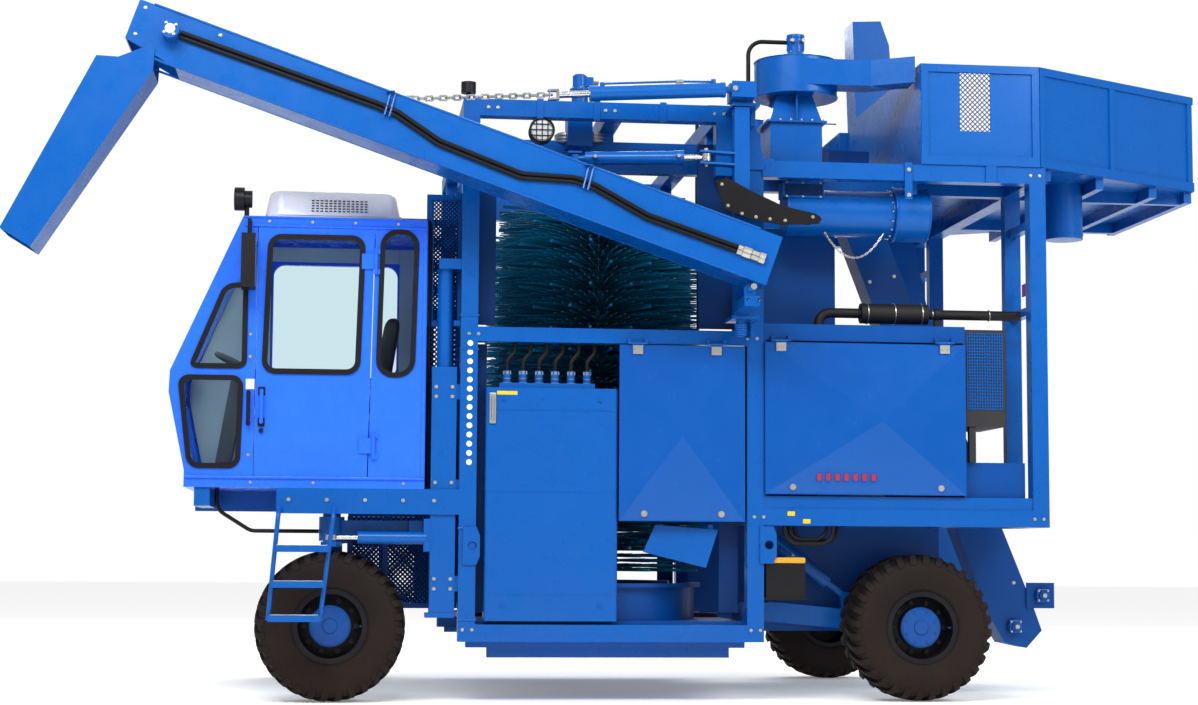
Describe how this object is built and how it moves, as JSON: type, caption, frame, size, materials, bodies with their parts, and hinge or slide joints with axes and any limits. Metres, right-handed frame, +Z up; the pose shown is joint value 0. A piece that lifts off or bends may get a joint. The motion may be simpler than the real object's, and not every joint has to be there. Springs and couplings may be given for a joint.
{
  "type": "coffee harvester",
  "caption": "Tall self-propelled straddle harvester for coffee rows: tube frame over a tunnel, spiked picking drums, side cab, rear hopper, and a slewing, tipping unloading boom.",
  "frame": {"origin": "ground level under the middle of the whole machine's bounding box", "axes": "+X to the rear of the machine, +Z up, -Y to its left side, where the cab and the boom are"},
  "size_m": [7.3462, 3.584, 4.5894],
  "materials": {
    "frame_blue": "gloss azure blue paint",
    "cab_blue": "gloss violet-blue paint",
    "door_blue": "gloss blue paint",
    "tyre": "dull black-brown rubber",
    "rim_black": "satin black paint",
    "glass": "clear tinted",
    "black_plastic": "matte black",
    "white_plastic": "white",
    "seat_cloth": "dark woven cloth",
    "steel": "bare steel",
    "rubber": "black rubber sheet",
    "engine_iron": "dark engine casting",
    "rod_teal": "dark teal fibre rods",
    "muffler_black": "matt black heat paint"
  },
  "bodies": {
    "chassis": {"side_frame_left": "frame_blue", "side_frame_right": "frame_blue", "top_frame": "frame_blue", "front_leg_left": "frame_blue", "front_leg_right": "frame_blue", "rear_arm_left": "frame_blue", "rear_arm_right": "frame_blue", "cab_support": "frame_blue", "catch_floor": "frame_blue", "elevator_left": "frame_blue", "elevator_right": "frame_blue", "fans": "frame_blue", "auger_housing": "frame_blue", "hopper": "frame_blue", "boom_brackets": "frame_blue", "ladder": "frame_blue", "oil_tank": "frame_blue", "fuel_tank": "frame_blue", "engine_hood": "frame_blue", "cab_shell": "cab_blue", "cab_glass": "glass", "cab_controls": "black_plastic", "mirror_and_lamp": "black_plastic", "gantry_lamps": "black_plastic", "battery": "black_plastic", "catch_plates": "black_plastic", "aircon_unit": "white_plastic", "cab_seat": "seat_cloth", "discharge_flap": "rubber", "hoses": "rubber", "engine_block": "engine_iron", "radiator": "engine_iron", "exhaust": "muffler_black"},
    "drum_left": {"picking_drum_left": "rod_teal"},
    "drum_right": {"picking_drum_right": "rod_teal"},
    "knuckle_left": {"knuckle_left": "frame_blue"},
    "knuckle_right": {"knuckle_right": "frame_blue"},
    "steer_rod_left": {"steer_rod_left": "steel"},
    "steer_rod_right": {"steer_rod_right": "steel"},
    "cab_door": {"cab_door": "cab_blue", "door_glass": "glass"},
    "side_door": {"side_door": "door_blue"},
    "hood_door": {"hood_door": "door_blue"},
    "mast": {"mast": "frame_blue"},
    "boom": {"boom": "frame_blue", "boom_hoses": "rubber"},
    "spout": {"spout": "frame_blue"},
    "luff_barrel": {"luff_barrel": "frame_blue"},
    "luff_rod": {"luff_rod": "steel"},
    "slew_barrel": {"slew_barrel": "frame_blue"},
    "slew_rod": {"slew_rod": "steel"},
    "wheel_front_left": {"tyre_front_left": "tyre", "rim_front_left": "rim_black"},
    "wheel_front_right": {"tyre_front_right": "tyre", "rim_front_right": "rim_black"},
    "wheel_rear_left": {"tyre_rear_left": "tyre", "rim_rear_left": "rim_black"},
    "wheel_rear_right": {"tyre_rear_right": "tyre", "rim_rear_right": "rim_black"}
  },
  "joints": [
    {"name": "drum_left_spin", "type": "hinge", "parent": "chassis", "child": "drum_left", "pos_m": [-0.17, -0.325, 2], "axis": [0, 0, 1], "continuous": true},
    {"name": "drum_right_spin", "type": "hinge", "parent": "chassis", "child": "drum_right", "pos_m": [-0.17, 0.985, 2], "axis": [0, 0, 1], "continuous": true},
    {"name": "steer_left", "type": "hinge", "parent": "chassis", "child": "knuckle_left", "pos_m": [-1.81, -0.932, 0.91], "axis": [0, 0, 1], "range_deg": [-32, 32]},
    {"name": "steer_right", "type": "hinge", "parent": "chassis", "child": "knuckle_right", "pos_m": [-1.81, 1.592, 0.91], "axis": [0, 0, 1], "range_deg": [-32, 32]},
    {"name": "steer_rod_left_slide", "type": "slide", "parent": "chassis", "child": "steer_rod_left", "axis": [1, 0, 0], "range_m": [-0.08, 0.08]},
    {"name": "steer_rod_right_slide", "type": "slide", "parent": "chassis", "child": "steer_rod_right", "axis": [1, 0, 0], "range_m": [-0.08, 0.08]},
    {"name": "wheel_front_left_spin", "type": "hinge", "parent": "knuckle_left", "child": "wheel_front_left", "pos_m": [-1.81, -0.932, 0.437], "axis": [0, 1, 0], "continuous": true},
    {"name": "wheel_front_right_spin", "type": "hinge", "parent": "knuckle_right", "child": "wheel_front_right", "pos_m": [-1.81, 1.592, 0.437], "axis": [0, 1, 0], "continuous": true},
    {"name": "wheel_rear_left_spin", "type": "hinge", "parent": "chassis", "child": "wheel_rear_left", "pos_m": [1.69, -0.932, 0.437], "axis": [0, 1, 0], "continuous": true},
    {"name": "wheel_rear_right_spin", "type": "hinge", "parent": "chassis", "child": "wheel_rear_right", "pos_m": [1.69, 1.592, 0.437], "axis": [0, 1, 0], "continuous": true},
    {"name": "cab_door_swing", "type": "hinge", "parent": "chassis", "child": "cab_door", "pos_m": [-1.578, -1.136, 2], "axis": [0, 0, 1], "range_deg": [0, 100]},
    {"name": "side_door_lift", "type": "hinge", "parent": "chassis", "child": "side_door", "pos_m": [0.2, -1.148, 2.106], "axis": [-1, 0, 0], "range_deg": [0, 80]},
    {"name": "hood_door_lift", "type": "hinge", "parent": "chassis", "child": "hood_door", "pos_m": [1.3, -1.148, 2.138], "axis": [-1, 0, 0], "range_deg": [0, 80]},
    {"name": "mast_slew", "type": "hinge", "parent": "chassis", "child": "mast", "pos_m": [0.555, -1.32, 2.9], "axis": [0, 0, 1], "range_deg": [0, 90]},
    {"name": "boom_luff", "type": "hinge", "parent": "mast", "child": "boom", "pos_m": [0.54684, -1.542, 2.37637], "axis": [0, -1, 0], "range_deg": [0, 31]},
    {"name": "spout_tilt", "type": "hinge", "parent": "boom", "child": "spout", "pos_m": [-2.86117, -1.542, 3.65896], "axis": [0, -1, 0], "range_deg": [0, 30]},
    {"name": "luff_barrel_swing", "type": "hinge", "parent": "mast", "child": "luff_barrel", "pos_m": [0.5, -1.4, 3.59], "axis": [0, -1, 0], "range_deg": [-2, 30]},
    {"name": "luff_rod_slide", "type": "slide", "parent": "luff_barrel", "child": "luff_rod", "axis": [-0.9982, 0, -0.0603], "range_m": [0, 0.65]},
    {"name": "slew_barrel_swing", "type": "hinge", "parent": "chassis", "child": "slew_barrel", "pos_m": [-0.42, -1.23, 3.185], "axis": [0, 0, 1], "range_deg": [-10, 2]},
    {"name": "slew_rod_slide", "type": "slide", "parent": "slew_barrel", "child": "slew_rod", "axis": [0.9834, -0.1814, 0], "range_m": [0, 0.32]}
  ],
  "couplings": [
    {"joint": "steer_right", "follows": "steer_left", "ratio": 1},
    {"joint": "steer_rod_left_slide", "follows": "steer_left", "m_per_rad": 0.1423},
    {"joint": "steer_rod_right_slide", "follows": "steer_left", "m_per_rad": -0.1423},
    {"joint": "luff_barrel_swing", "follows": "boom_luff", "ratio": 0.865},
    {"joint": "luff_rod_slide", "follows": "boom_luff", "m_per_rad": 1.16},
    {"joint": "slew_barrel_swing", "follows": "mast_slew", "ratio": -0.08},
    {"joint": "slew_rod_slide", "follows": "mast_slew", "m_per_rad": 0.19}
  ]
}
